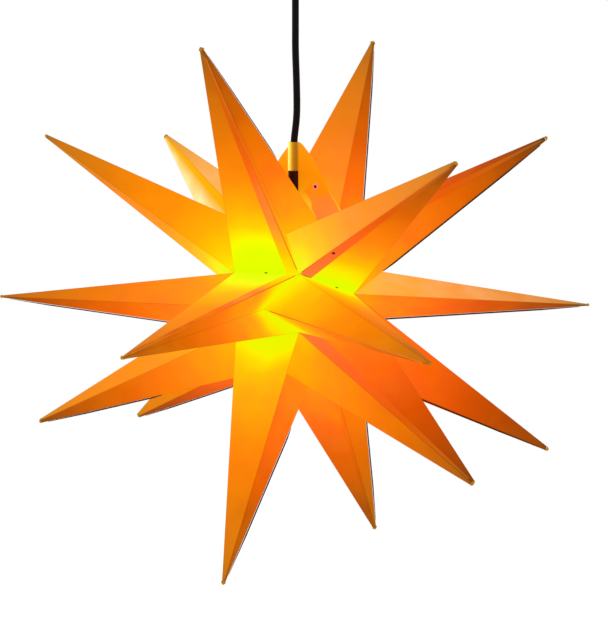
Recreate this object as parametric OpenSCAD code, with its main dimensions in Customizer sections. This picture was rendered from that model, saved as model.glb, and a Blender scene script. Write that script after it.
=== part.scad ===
// Folding star pendant: eighteen hollow points of folded foil in two halves that open round a lamp on a cord,
// hung from a small ceiling fitting. The ceiling face is z = 0 and the star's upright axis is x = y = 0.
// The cord bends a little above the star, so the fitting stands to one side of that axis.

/* [Star] */
// Drop from the ceiling face to the star's centre
star_drop = 325; // [305:1:420]
// Distance from the star's centre to the blunt end of a point
point_reach = 282; // [230:1:330]
// Tilt of the side points away from the middle ring, in degrees
ring_tilt = 53; // [50:1:56]
// Distance from the star's long axis to the seam corners
corner_radius = 57; // [54:1:64]
// Distance from the star's long axis to the hollows at the middle of each gore
hollow_radius = 79; // [74:1:84]
// Half the distance between the two hollows of one gore
hollow_half = 14; // [10:1:18]
// Distance from the centre to each pole, where six side points meet
pole_reach = 65; // [60:1:72]
// Length that is missing from each point, where its folds would meet
blunt_cut = 15; // [12:1:24]
// Share of the distance to the centre that the foil's wall takes at the base
wall_share = 0.07; // [0.05:0.01:0.1]
// Depth of the foil's wall below the meeting point of the folds
tip_wall = 6; // [4:1:8]
// Width of the groove at each fold
fold_gap = 0.1; // [0.05:0.05:0.2]
// Gap between the two halves of the star
seam_gap = 0.3; // [0.2:0.1:0.6]
// Height of the welded end of a point
weld_h = 2.4; // [1.8:0.2:3]

/* [Laps] */
// Width of a seam lap at the foot of its point
lap_w = 12; // [9:1:15]
// Thickness of a seam lap
lap_t = 0.6; // [0.4:0.1:0.8]
// Radius of a lap rivet's head
rivet_r = 1.6; // [1.4:0.1:1.8]

/* [Closure] */
// Thickness of the hanging flap
flap_t = 1; // [0.8:0.1:1.4]
// Height of the hanging flap's top above the star's centre
flap_top = 150.5; // [146:0.5:156]
// Thickness of the closing tabs
tab_t = 0.8; // [0.6:0.1:1]
// Sideways place of the snap buttons
snap_x = 22.4; // [20:0.1:25]
// Height of the snap buttons above the star's centre
snap_z = 109; // [106:1:111]
// Radius of a snap button's ring
snap_r = 3.3; // [3:0.1:4]
// Radius of a snap button's stud
stud_r = 1.5; // [1.2:0.1:1.6]

/* [Hanger] */
// Outer diameter of the brass sleeve
sleeve_d = 10; // [9.6:0.1:11]
// Length of the brass sleeve
sleeve_l = 27.3; // [22:0.1:32]
// Height of the sleeve's lower end above the star's centre
sleeve_z = 123.5; // [118:0.5:126]
// Diameter of the cord
cord_d = 6.6; // [6:0.1:7]
// Outer diameter of the collar that grips the cord under the sleeve
collar_d = 9.5; // [9.2:0.1:9.8]
// Length of the collar
collar_l = 20; // [16:1:22]

/* [Lamp] */
// Height of the lamp holder's top above the star's centre
holder_top = 48; // [44:1:49]
// Outer diameter of the lamp holder
holder_d = 27; // [26:1:32]
// Length of the holder's cap
holder_cap_l = 11; // [10:1:14]
// Length of the holder's skirt
skirt_l = 21; // [19:1:22]
// Wall of the lamp holder's shells
holder_wall = 1.6; // [1.4:0.1:2]
// Length of the lamp's screw cap
screw_l = 19; // [17:1:20]
// Diameter of the lamp's diffuser
dome_d = 36; // [30:1:40]

/* [Ceiling fitting] */
// Outer diameter of the ceiling cup
cup_d = 70; // [64:1:76]
// Height of the ceiling cup
cup_h = 24; // [22:1:30]
// Wall of the ceiling cup
cup_wall = 1.5; // [1.2:0.1:2]
// Distance between the two fixing slots
slot_pitch = 44; // [40:1:46]
// Width of a fixing slot
slot_w = 4.4; // [4:0.1:5]
// Length of a fixing slot, from end to end
slot_l = 8; // [7:0.5:9]
// Thickness of the mounting plate
plate_t = 1.2; // [1:0.1:1.6]

/* [Hidden] */
$fn = 48;
clear = 0.3;
fit = 0.05;
gore_angle = 60;
// One row per gore, from the top towards the front and round: sideways lean, lean round the ring, extra reach
mid_lean = [[-2, 1, -2], [0, 4.4, 0], [1.5, 1, 0], [1.3, -0.5, 0], [0, -5, 0], [-0.2, -1, -2]];
right_lean = [[-0.5, 3.5, 0], [3, 9, 0], [2.5, 2, 0], [1, 3, -6], [0, -2.9, 0], [-2, 1, 1]];
left_lean = [[-2, 2, 4], [0.5, -2, -4], [4, -6, 1], [3, -4, 1], [0, -6, 0], [-1.4, -5.5, 0]];
// One row per seam: distance of its corner from the middle, lean round the ring, extra radius
right_corner = [[41, 0, 0], [33, -3, 0], [36, -6, 0], [28, 0, -3], [36, 6, 0], [40, 0, 0]];
left_corner = [[39, 0, 0], [38, 0, 0], [36, -1, 0], [36, 0, 0], [36, 0, 0], [36, 0, 0]];
// Extra radius of the hollows, by gore
right_hollow_out = [1.5, 0, 0, 0, 0, 0];
left_hollow_out = [3.5, 0, 0, 0, 0, 0];
right_pole_lift = 9.5;
left_pole_lift = 2.5;
weld_shoulder = 0.7;
sleeve_wall = 0.6;
sleeve_r = sleeve_d / 2;
flap_gap = 0.2;
// The seam plane lies behind the cord, so that the sleeve rests against the flap
seam_y = sleeve_r + fit - flap_gap;
cord_r = cord_d / 2;
cord_hole_r = cord_r + 1.7;
notch_h = 30;
notch_z = corner_radius - 12;
// Places below are heights above the star's centre; the flap and the tabs stand on the points' faces there
face_rise = 1.3;
flap_foot = corner_radius + (flap_gap + flap_t - seam_gap / 2) * face_rise + fit;
tab_foot = corner_radius + (tab_t + fit - seam_gap / 2) * face_rise + 2 * fit;
collar_z = sleeve_z - fit - collar_l;
cup_gap = 0.3;
bushing_r = 6.5;
bushing_play = 0.5;
leg_x = cup_d / 2 - cup_wall - 1.6;
leg_t = 1.2;
leg_h = 14;
grip_z = -18;
cord_top = -8;
fitting_x = 2.4;
cord_foot = 42;
// Route of the cord, from the ceiling fitting down to the lamp holder
cord_route = [[2.4, 0, -8], [2.4, 0, -24], [2.4, 0, -40], [2.4, 0, -56], [2.4, 0, -70], [2.4, 0, -84],
    [2.8, 0, -98], [3.4, 0, -112], [3.8, 0, -126], [4, 0, -138], [3.8, 0, -148], [3, 0, -157],
    [1.9, 0, -165], [1, 0, -173], [0.9, 0, -182], [0.7, 0, -190], [0.2, 0, -198], [0, 0, -204],
    [0, 0, -214], [0, 0, -226], [0, 0, -240], [0, 0, -255], [0, 0, -270], [0, 0, -283]];
cord_sides = 12;
// One row per lap: side, gore, which foot corner its fold starts from, and the next corner of its panel.
// The first lap of each half is the riveted one
front_lap_rows = [[1, 0, 2, 3], [0, 0, 3, 2], [0, 1, 5, 0], [1, 2, 0, 3]];
rear_lap_rows = [[1, 3, 2, 3], [1, 5, 2, 3], [0, 4, 5, 0], [-1, 4, 3, 0], [-1, 5, 3, 0]];
lap_rise = 1.2;
lap_to = 0.92;
lap_end_w = 1.4;
lap_edge = 0.5;
rivet_at = 0.205;
rivet_in = 2.9;
rivet_shank_r = 0.7;
rivet_head_h = 0.9;
boss_r = 2.3;
boss_h = 0.3;
// Right-hand outline of the hanging flap, from its top to its foot, as shares of its height above the foot
flap_side = [[1.5, 1], [4, 0.995], [6.6, 0.975], [9.6, 0.941], [14, 0.889], [18.3, 0.83], [23.5, 0.732],
    [30.5, 0.614], [37.8, 0.483], [50.5, 0.3], [52.5, 0.265], [50.5, 0.22], [34, 0]];
tab_side = [[20, 0], [33, 0], [49.5, 0.43], [45.6, 0.59], [37.4, 0.76], [30, 0.9], [26, 0.98], [22.4, 1],
    [19, 0.98], [16.5, 0.92], [13, 0.85], [9.5, 0.79], [14.6, 0.707], [17.6, 0.613], [18.5, 0.5],
    [23, 0.38]];
tab_top = 116.5;
snap_ring_t = 1;
stud_head_r = 3;
stud_head_t = 0.8;
sleeve_rivet_r = 1;
sleeve_rivet_head_r = 2.2;
sleeve_edge = 0.5;
sleeve_bore_r = sleeve_r - sleeve_wall;
collar_screw_r = 1.5;
collar_screw_z = collar_z + collar_l / 2;
holder_r = holder_d / 2;
skirt_z = holder_top - holder_cap_l - skirt_l;
core_r = holder_r - holder_wall - clear;
core_z = holder_top - holder_cap_l - 1;
core_h = cord_foot - 0.5 - core_z;
screw_r = 7;
contact_h = 2;
screw_top = core_z - contact_h;
screw_z = screw_top - screw_l;
thread_ring_r = screw_r + 0.7;
insulator_h = 2.2;
pip_h = 1;
body_z = screw_z - 8;
dome_r = dome_d / 2;
board_r = dome_r - 3;
board_t = 1.2;
led_ring_r = board_r * 0.6;
led_count = 8;
led_w = 3;
led_h = 0.8;
dome_wall = 1.2;
dome_l = 34;
leg_w = 12;
supply_y = leg_x - 12.9;
supply_r = 5;
grip_screw_x = 9.5;
grip_w = 26;
grip_d = 15;
block_y = 13.9 - leg_x;
block_h = 9;
wire_x = 4.5;
cup_screw_r = 1.5;

// Unit vector across the star's long axis, at an angle from the top towards the front
function ring_dir(a) = [0, -sin(a), cos(a)];
function unit(v) = v / norm(v);
function mix(a, b, s) = a + (b - a) * s;
function corner(side, seam) =
    let (row = side > 0 ? right_corner[seam % 6] : left_corner[seam % 6])
    [side * row[0], 0, 0] + (corner_radius + row[2]) * ring_dir(gore_angle * seam + row[1]);
function hollow(side, gore) =
    let (out = side > 0 ? right_hollow_out[gore] : left_hollow_out[gore])
    [side * hollow_half, 0, 0] + (hollow_radius + out) * ring_dir(gore_angle * (gore + 0.5));
function pole(side) = [side * pole_reach, 0, side > 0 ? right_pole_lift : left_pole_lift];
function lean(side, gore) = side == 0 ? mid_lean[gore] : side > 0 ? right_lean[gore] : left_lean[gore];
// The place where a point's folds would meet
function apex(side, gore) =
    let (row = lean(side, gore), tilt = side == 0 ? row[0] : side * (ring_tilt + row[0]))
    (point_reach + blunt_cut + row[2])
    * ([sin(tilt), 0, 0] + cos(tilt) * ring_dir(gore_angle * (gore + 0.5) + row[1]));
// A point's foot, anticlockwise as seen from its tip
function foot(side, gore) = side == 0
    ? [corner(-1, gore), hollow(-1, gore), corner(-1, gore + 1), corner(1, gore + 1), hollow(1, gore),
        corner(1, gore)]
    : side > 0
    ? [corner(1, gore), hollow(1, gore), corner(1, gore + 1), pole(1)]
    : [pole(-1), corner(-1, gore + 1), hollow(-1, gore), corner(-1, gore)];
function blunt_share(side, gore) = blunt_cut / norm(apex(side, gore) - foot(side, gore)[0]);
// A corner moved along its edge until it clears the fold's plane by half the groove
function off_fold(p, along, fold_n) = p + along * (fold_gap / 2 / abs(along * fold_n));

// One flat panel of a point, between two neighbouring folds
module panel(side, gore, i) {
    ring = foot(side, gore);
    n = len(ring);
    a = ring[i];
    b = ring[(i + 1) % n];
    tip = apex(side, gore);
    cut = blunt_share(side, gore);
    inner_tip = tip * (1 - tip_wall / norm(tip));
    inner_cut = (cut * norm(tip) - tip_wall) / (norm(tip) - tip_wall);
    ia = a * (1 - wall_share);
    ib = b * (1 - wall_share);
    along = unit(b - a);
    na = unit(cross(a, tip));
    nb = unit(cross(b, tip));
    pts = [off_fold(a, along, na), off_fold(b, -along, nb),
        off_fold(mix(tip, b, cut), -along, nb), off_fold(mix(tip, a, cut), along, na),
        off_fold(ia, along, na), off_fold(ib, -along, nb),
        off_fold(mix(inner_tip, ib, inner_cut), -along, nb),
        off_fold(mix(inner_tip, ia, inner_cut), along, na)];
    polyhedron(pts, [[0, 3, 2, 1], [4, 5, 6, 7], [0, 1, 5, 4], [2, 3, 7, 6], [1, 2, 6, 5], [3, 0, 4, 7]]);
}

// A half stands off the seam plane by half the gap: gores 0 to 2 are the front half
module place_star(gore) {
    translate([0, seam_y + (gore < 3 ? -0.5 : 0.5) * seam_gap, -star_drop]) children();
}

// A whole point: its flat panels, separated by the fold grooves
module point(side, gore) {
    place_star(gore) for (i = [0 : len(foot(side, gore)) - 1]) panel(side, gore, i);
}

module mid_point(gore) {
    color("orange") if (gore == 0) {
        difference() {
            point(0, gore);
            cord_notch();
        }
    } else {
        point(0, gore);
    }
}

// Room for the cord in the foot of the front half's top point
module cord_notch() {
    translate([0, 0, -star_drop]) {
        translate([0, 0, notch_z]) cylinder(r = cord_hole_r, h = notch_h);
        translate([-cord_hole_r, 0, notch_z]) cube([2 * cord_hole_r, seam_y + 1, notch_h]);
    }
}

module right_point(gore) {
    color("darkorange") point(1, gore);
}

module left_point(gore) {
    color("darkorange") point(-1, gore);
}

// The welded blunt end of a point
module welded_tip(side, gore) {
    ring = foot(side, gore);
    n = len(ring);
    tip = apex(side, gore);
    dir = unit(tip);
    cut = blunt_share(side, gore);
    seat = [for (p = ring) mix(tip, p, cut) + dir * fold_gap];
    heart = [for (p = seat) 1] * seat / n;
    shoulder = [for (p = seat) mix(heart, p, weld_shoulder) + dir * weld_h * 0.7];
    pts = concat(seat, shoulder, [heart + dir * weld_h, heart]);
    place_star(gore) polyhedron(pts, concat(
        [for (i = [0 : n - 1]) [i, i + n, (i + 1) % n + n, (i + 1) % n]],
        [for (i = [0 : n - 1]) [i + n, 2 * n, (i + 1) % n + n]],
        [for (i = [0 : n - 1]) [i, (i + 1) % n, 2 * n + 1]]));
}

module half_tips(gores) {
    color("peru") for (gore = gores) for (side = [-1, 0, 1]) welded_tip(side, gore);
}

function lap_inward(row) =
    let (ring = foot(row[0], row[1]), fold = unit(apex(row[0], row[1]) - ring[row[2]]),
        across = ring[row[3]] - ring[row[2]])
    unit(across - fold * (across * fold));
function lap_normal(row) =
    let (ring = foot(row[0], row[1]), tip = apex(row[0], row[1]),
        n = unit(cross(tip - ring[row[2]], lap_inward(row))))
    n * (ring[row[2]] * n > 0 ? 1 : -1);
function lap_fold(row) = unit(apex(row[0], row[1]) - foot(row[0], row[1])[row[2]]);
// Lower end of a lap: it keeps its distance from the point's foot
function lap_low(row, across) =
    let (ring = foot(row[0], row[1]), base = unit(ring[row[3]] - ring[row[2]]))
    ring[row[2]] + base * (across / (base * lap_inward(row))) + lap_fold(row) * lap_rise;
function lap_at(row, s, across) =
    mix(foot(row[0], row[1])[row[2]], apex(row[0], row[1]), s) + lap_inward(row) * across;
function rivet_place(row) = lap_at(row, rivet_at, rivet_in) + lap_normal(row) * fit;

// Turns a child that stands along +Z so that it stands along n, at a place
module stand(place, n) {
    translate(place) rotate([0, acos(n[2]), atan2(n[1], n[0])]) children();
}

// The double layer beside one fold, where the foil is lapped and welded
module lap(row) {
    n = lap_normal(row);
    low = [for (p = [lap_low(row, lap_edge), lap_low(row, lap_edge + lap_w),
        lap_at(row, lap_to, lap_edge + lap_end_w), lap_at(row, lap_to, lap_edge)]) p + n * fit];
    high = [for (p = low) p + n * lap_t];
    turned = cross(low[1] - low[0], low[3] - low[0]) * n < 0;
    faces = [[0, 1, 2, 3], [7, 6, 5, 4], [0, 4, 5, 1], [1, 5, 6, 2], [2, 6, 7, 3], [3, 7, 4, 0]];
    polyhedron(concat(low, high), turned ? [for (f = faces) [f[3], f[2], f[1], f[0]]] : faces);
}

// A lap with a hole and a raised rim for its rivet
module riveted_lap(row) {
    difference() {
        union() {
            lap(row);
            stand(rivet_place(row), lap_normal(row)) translate([0, 0, fit]) cylinder(r = boss_r,
                h = lap_t + boss_h - fit);
        }
        stand(rivet_place(row), lap_normal(row)) translate([0, 0, -1])
            cylinder(r = rivet_shank_r + fit, h = lap_t + 3, $fn = 24);
    }
}

module laps(rows) {
    color("coral") for (i = [0 : len(rows) - 1]) place_star(rows[i][1]) {
        if (i == 0) riveted_lap(rows[i]);
        else lap(rows[i]);
    }
}

// Round-headed rivet through a riveted lap
module rivet(row) {
    seat = lap_t + boss_h;
    color("saddlebrown") place_star(row[1]) stand(rivet_place(row), lap_normal(row)) rotate_extrude($fn = 24)
        polygon([[0, 0], [rivet_shank_r, 0], [rivet_shank_r, seat], [rivet_r, seat],
            [rivet_r * 0.94, seat + rivet_head_h * 0.45], [rivet_r * 0.6, seat + rivet_head_h * 0.85],
            [0, seat + rivet_head_h]]);
}

// Places in the seam plane of the star: x sideways, z up, y behind the plane
module on_seam(y, t) {
    translate([0, seam_y + y + t, -star_drop]) rotate([90, 0, 0]) linear_extrude(t) children();
}

module flap_outline() {
    rise = flap_top - flap_foot;
    right = [for (p = flap_side) [p[0], flap_foot + p[1] * rise]];
    polygon(concat(right, [for (i = [len(right) - 1 : -1 : 0]) [-right[i][0], right[i][1]]]));
}

module hanging_flap() {
    color("orange") on_seam(flap_gap, flap_t) difference() {
        flap_outline();
        for (side = [-1, 1]) translate([side * snap_x, snap_z]) circle(r = stud_r + fit, $fn = 24);
        translate([0, sleeve_z + sleeve_l / 2]) circle(r = sleeve_rivet_r + fit, $fn = 24);
    }
}

// Closing tabs of the front half: they lie on the front of the hanging flap
module closing_tabs() {
    rise = tab_top - tab_foot;
    color("orange") on_seam(-tab_t - fit, tab_t) for (side = [-1, 1]) difference() {
        scale([side, 1]) polygon([for (p = tab_side) [p[0], tab_foot + p[1] * rise]]);
        translate([side * snap_x, snap_z]) circle(r = stud_r + 2 * fit + 0.05, $fn = 24);
    }
}

module snap_rings() {
    color("salmon") for (side = [-1, 1])
        translate([side * snap_x, seam_y - fit - tab_t, snap_z - star_drop]) rotate([90, 0, 0])
            difference() {
                rotate_extrude() polygon([[0, 0], [snap_r, 0], [snap_r, snap_ring_t / 2],
                    [snap_r - snap_ring_t / 2, snap_ring_t], [0, snap_ring_t]]);
                translate([0, 0, -1]) cylinder(r = stud_r + 2 * fit + 0.05, h = snap_ring_t + 2);
            }
}

module snap_studs() {
    reach = flap_gap + flap_t + fit + tab_t + snap_ring_t - 0.3;
    color("maroon") for (side = [-1, 1])
        translate([side * snap_x, seam_y + flap_gap + flap_t, snap_z - star_drop]) rotate([90, 0, 0]) {
            translate([0, 0, -stud_head_t]) cylinder(r = stud_head_r, h = stud_head_t);
            cylinder(r = stud_r, h = reach);
        }
}

// Thin brass tube that turns on the cord and rests on the collar
module hanging_sleeve() {
    color("goldenrod") translate([0, 0, sleeve_z - star_drop]) difference() {
        rotate_extrude() polygon([[0, 0], [sleeve_r - sleeve_edge, 0], [sleeve_r, sleeve_edge],
            [sleeve_r, sleeve_l - sleeve_edge], [sleeve_r - sleeve_edge, sleeve_l], [0, sleeve_l]]);
        translate([0, 0, -1]) cylinder(r = sleeve_bore_r, h = sleeve_l + 2);
        translate([0, 0, sleeve_l / 2]) rotate([-90, 0, 0]) cylinder(r = sleeve_rivet_r + fit, h = sleeve_d);
    }
}

// Rivet through the back of the sleeve and the flap's top
module sleeve_rivet() {
    from_y = sleeve_bore_r + 0.05;
    to_y = seam_y + flap_gap + flap_t;
    color("goldenrod") translate([0, 0, sleeve_z + sleeve_l / 2 - star_drop]) rotate([-90, 0, 0]) {
        translate([0, 0, from_y]) cylinder(r = sleeve_rivet_r, h = to_y - from_y);
        translate([0, 0, to_y]) cylinder(r = sleeve_rivet_head_r, h = 0.7);
    }
}

// Collar that grips the cord and carries the sleeve
module cord_collar() {
    r = collar_d / 2;
    color("dimgray") translate([0, 0, collar_z - star_drop]) difference() {
        rotate_extrude() polygon([[0, 0], [r - 0.8, 0], [r, 0.8], [r, collar_l - 0.4], [r - 0.4, collar_l],
            [0, collar_l]]);
        translate([0, 0, -1]) cylinder(r = cord_r + fit, h = collar_l + 2);
        translate([0, 0, collar_l / 2]) rotate([0, -90, 0]) cylinder(r = collar_screw_r, h = collar_d);
    }
}

module collar_screw() {
    from_x = cord_r + fit;
    length = collar_d / 2 - from_x - 0.1;
    color("silver") translate([-from_x, 0, collar_screw_z - star_drop]) rotate([0, -90, 0]) difference() {
        cylinder(r = collar_screw_r - fit, h = length);
        translate([0, 0, length - 0.5]) cylinder(r = 0.7, h = 1, $fn = 6);
    }
}

// Round cord: a ring of points at each place of the route, square to the route there
module mains_cord() {
    n = len(cord_route);
    rings = [for (i = [0 : n - 1])
        let (before = cord_route[max(i - 1, 0)], after = cord_route[min(i + 1, n - 1)],
            dir = unit(after - before), u = unit(cross(dir, [0, 1, 0])), v = cross(dir, u))
        [for (k = [0 : cord_sides - 1])
            cord_route[i] + cord_r * (cos(360 * k / cord_sides) * u + sin(360 * k / cord_sides) * v)]];
    pts = [for (ring = rings) each ring];
    sides = [for (i = [0 : n - 2]) for (k = [0 : cord_sides - 1])
        let (a = i * cord_sides + k, b = i * cord_sides + (k + 1) % cord_sides)
        [a, b, b + cord_sides, a + cord_sides]];
    color("black") polyhedron(pts, concat(sides,
        [[for (k = [cord_sides - 1 : -1 : 0]) k]],
        [[for (k = [0 : cord_sides - 1]) (n - 1) * cord_sides + k]]));
}

// A round shell: outer radius, wall, height, thickness of its closed top
module cap_shell(r, wall, h, top) {
    difference() {
        rotate_extrude() polygon([[0, 0], [r, 0], [r, h - 1], [r - 1, h], [0, h]]);
        translate([0, 0, -1]) cylinder(r = r - wall, h = h - top + 1);
    }
}

// Cap of the lamp holder, closed round the cord
module holder_cap() {
    color("black") translate([0, 0, holder_top - holder_cap_l - star_drop]) difference() {
        cap_shell(holder_r, holder_wall, holder_cap_l, 2.5);
        cylinder(r = cord_r + fit, h = holder_cap_l + 1);
    }
}

// Skirt of the lamp holder, round the lamp's screw cap
module holder_skirt() {
    color("black") translate([0, 0, skirt_z - star_drop]) difference() {
        rotate_extrude() polygon([[0, 0.8], [0.8, 0], [holder_r - 0.8, 0], [holder_r, 0.8],
            [holder_r, skirt_l - fit], [0, skirt_l - fit]]);
        translate([0, 0, -1]) cylinder(r = holder_r - holder_wall, h = skirt_l + 2);
    }
}

// Insulating core that holds the contacts and the threaded ring
module holder_core() {
    color("ivory") translate([0, 0, -star_drop]) difference() {
        union() {
            translate([0, 0, core_z]) cylinder(r = core_r, h = core_h);
            translate([0, 0, screw_z + 4]) cylinder(r = core_r - 0.5, h = core_z - screw_z - 4);
        }
        translate([0, 0, screw_z + 3]) cylinder(r = thread_ring_r + fit, h = core_z - screw_z - 3);
        for (side = [-1, 1]) translate([side * 5, 0, core_z - 1]) cylinder(r = 1.2, h = core_h + 2, $fn = 24);
    }
}

// Threaded ring and the sprung middle contact
module holder_contacts() {
    color("goldenrod") translate([0, 0, -star_drop]) {
        translate([0, 0, screw_z + 4.5]) difference() {
            cylinder(r = thread_ring_r, h = 11);
            translate([0, 0, -1]) cylinder(r = screw_r + fit, h = 13);
        }
        translate([-2, -1.5, screw_top + fit]) cube([4, 3, contact_h - fit]);
    }
}

module lamp_screw_cap() {
    color("silver") translate([0, 0, screw_z - star_drop]) difference() {
        cylinder(r = screw_r, h = screw_l - insulator_h - pip_h);
        translate([0, 0, -1]) cylinder(r = screw_r - 0.4, h = screw_l - insulator_h - pip_h + 2);
    }
}

module lamp_insulator() {
    color("black") translate([0, 0, screw_top - insulator_h - pip_h - star_drop])
        rotate_extrude() polygon([[0, -2], [screw_r - 0.5, -2], [screw_r - 0.5, 0], [screw_r, 0],
            [4, insulator_h], [0, insulator_h]]);
}

module lamp_contact() {
    color("silver") translate([0, 0, screw_top - pip_h - star_drop])
        rotate_extrude() polygon([[0, 0], [2.5, 0], [2.2, pip_h * 0.6], [1, pip_h], [0, pip_h]]);
}

// Plastic body of the lamp: a hollow cone that carries the board
module lamp_body() {
    color("white") translate([0, 0, body_z - star_drop]) difference() {
        rotate_extrude() polygon([[0, 0], [dome_r, 0], [dome_r, 2], [screw_r + 2, 8 - fit], [0, 8 - fit]]);
        translate([0, 0, -1]) cylinder(r = board_r + fit, h = 1 + board_t + 1);
        cylinder(r = 4, h = 10);
    }
}

module lamp_board() {
    color("whitesmoke") translate([0, 0, body_z + 1 - star_drop]) difference() {
        cylinder(r = board_r, h = board_t - fit);
        cylinder(r = 1.5, h = 3 * board_t, center = true, $fn = 24);
    }
}

module lamp_leds() {
    color("yellow") translate([0, 0, body_z + 1 - led_h - star_drop]) for (i = [0 : led_count - 1])
        rotate([0, 0, 360 * i / led_count]) translate([led_ring_r - led_w / 2, -led_w / 2, 0])
            cube([led_w, led_w, led_h]);
}

// Frosted diffuser: a short cylinder with a round end, open towards the board
module lamp_dome() {
    color("lightyellow") translate([0, 0, body_z - fit - star_drop]) difference() {
        rotate_extrude() dome_half(dome_r, dome_l);
        rotate_extrude() translate([0, 0.01]) dome_half(dome_r - dome_wall, dome_l - dome_wall);
    }
}

// Half outline of the diffuser, hanging down from z = 0
module dome_half(r, l) {
    intersection() {
        union() {
            translate([0, -(l - r)]) square([r, l - r]);
            translate([0, -(l - r)]) circle(r = r);
        }
        translate([0, -l]) square([r, l]);
    }
}

// Steel plate on the ceiling, with two legs that the cup's screws press on
module ceiling_plate() {
    color("silver") translate([fitting_x, 0, 0]) {
        translate([0, 0, -plate_t]) linear_extrude(plate_t) difference() {
            circle(r = leg_x - 0.5);
            for (side = [-1, 1]) translate([side * slot_pitch / 2, 0]) {
                square([slot_l - slot_w, slot_w], center = true);
                for (end = [-1, 1]) translate([end * (slot_l - slot_w) / 2, 0]) circle(d = slot_w);
            }
            translate([0, supply_y]) circle(r = supply_r);
            for (side = [-1, 1]) translate([side * grip_screw_x, 0]) circle(r = 1.3, $fn = 24);
        }
        for (side = [-1, 1]) translate([side * (leg_x - leg_t / 2), 0, -leg_h / 2])
            cube([leg_t, leg_w, leg_h], center = true);
    }
}

// Block that clamps the cord's end under the plate
module cord_grip() {
    color("dimgray") translate([fitting_x, 0, grip_z]) difference() {
        translate([-grip_w / 2, -grip_d / 2, 0]) cube([grip_w, grip_d, -grip_z - plate_t]);
        translate([0, 0, -1]) cylinder(r = cord_r + fit, h = cord_top - grip_z + 1);
        translate([-4, -grip_d, cord_top - grip_z]) cube([8, 2 * grip_d, 4]);
        for (side = [-1, 1]) translate([side * grip_screw_x, 0, -1]) cylinder(r = 1.3, h = 30, $fn = 24);
    }
}

module grip_screws() {
    color("silver") for (side = [-1, 1]) translate([fitting_x + side * grip_screw_x, 0, grip_z]) {
        translate([0, 0, -1.6]) cylinder(r = 2.4, h = 1.6, $fn = 24);
        cylinder(r = 1.3 - fit, h = -grip_z - 0.1, $fn = 24);
    }
}

// Two-way terminal block for the cord's wires
module terminal_block() {
    color("ivory") translate([fitting_x, block_y, -plate_t - block_h]) difference() {
        translate([-9, -5, 0]) cube([18, 10, block_h]);
        for (side = [-1, 1]) {
            translate([side * wire_x, 0, 4]) rotate([90, 0, 0])
                cylinder(r = 1.6, h = 20, center = true, $fn = 24);
            translate([side * wire_x, 0, -1]) cylinder(r = 1.5, h = 5, $fn = 24);
        }
    }
}

module terminal_screws() {
    color("silver") for (side = [-1, 1])
        translate([fitting_x + side * wire_x, block_y, -plate_t - block_h + clear])
            cylinder(r = 1.5 - fit, h = 2, $fn = 24);
}

// Cup over the fitting: it slides down the cord once its side screws are loose
module ceiling_cup() {
    r = cup_d / 2;
    color("black") translate([fitting_x, 0, -cup_gap - cup_h]) difference() {
        rotate_extrude() polygon([[0, 0], [r - 3, 0], [r - 0.9, 0.9], [r, 3], [r, cup_h], [0, cup_h]]);
        translate([0, 0, cup_wall]) rotate_extrude() polygon([[0, 0], [r - 3 - cup_wall / 2, 0],
            [r - cup_wall, 2.4], [r - cup_wall, cup_h], [0, cup_h]]);
        translate([0, 0, -1]) cylinder(r = bushing_r, h = cup_wall + 2);
        for (side = [-1, 1]) translate([side * r, 0, cup_h - leg_h / 2]) rotate([0, 90, 0])
            cylinder(r = cup_screw_r + fit, h = 4 * cup_wall, center = true, $fn = 24);
    }
}

module cup_bushing() {
    color("dimgray") translate([fitting_x, 0, -cup_gap - cup_h - 2]) difference() {
        rotate_extrude() polygon([[0, 0], [bushing_r, 0], [bushing_r + 2, 1.2], [bushing_r + 2, 2 - fit],
            [bushing_r - fit, 2 - fit], [bushing_r - fit, 2 + cup_wall + 1], [0, 2 + cup_wall + 1]]);
        translate([0, 0, -1]) cylinder(r = cord_r + bushing_play, h = cup_wall + 6);
    }
}

// Side screws of the cup: each one presses on a leg of the plate
module cup_screws() {
    inner_x = leg_x + fit;
    color("silver") translate([fitting_x, 0, 0]) for (side = [-1, 1]) scale([side, 1, 1])
        translate([inner_x, 0, -cup_gap - leg_h / 2]) rotate([0, 90, 0]) {
            cylinder(r = cup_screw_r, h = cup_d / 2 - inner_x, $fn = 24);
            translate([0, 0, cup_d / 2 - inner_x]) cylinder(r1 = 2.8, r2 = 2.2, h = 1.4, $fn = 24);
        }
}

ceiling_plate();
cord_grip();
grip_screws();
terminal_block();
terminal_screws();
ceiling_cup();
cup_bushing();
cup_screws();
mains_cord();
cord_collar();
collar_screw();
hanging_sleeve();
sleeve_rivet();
hanging_flap();
snap_studs();
closing_tabs();
snap_rings();
mid_point(0);  // mid_point_1
mid_point(1);  // mid_point_2
mid_point(2);  // mid_point_3
mid_point(3);  // mid_point_4
mid_point(4);  // mid_point_5
mid_point(5);  // mid_point_6
right_point(0);  // right_point_1
right_point(1);  // right_point_2
right_point(2);  // right_point_3
right_point(3);  // right_point_4
right_point(4);  // right_point_5
right_point(5);  // right_point_6
left_point(0);  // left_point_1
left_point(1);  // left_point_2
left_point(2);  // left_point_3
left_point(3);  // left_point_4
left_point(4);  // left_point_5
left_point(5);  // left_point_6
half_tips([0, 1, 2]);  // front_tips
half_tips([3, 4, 5]);  // rear_tips
laps(front_lap_rows);  // front_laps
laps(rear_lap_rows);  // rear_laps
rivet(front_lap_rows[0]);  // front_rivet
rivet(rear_lap_rows[0]);  // rear_rivet
holder_cap();
holder_skirt();
holder_core();
holder_contacts();
lamp_screw_cap();
lamp_insulator();
lamp_contact();
lamp_body();
lamp_board();
lamp_leds();
lamp_dome();
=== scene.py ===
import math

import bmesh
import bpy
from mathutils import Matrix, Vector


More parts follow.
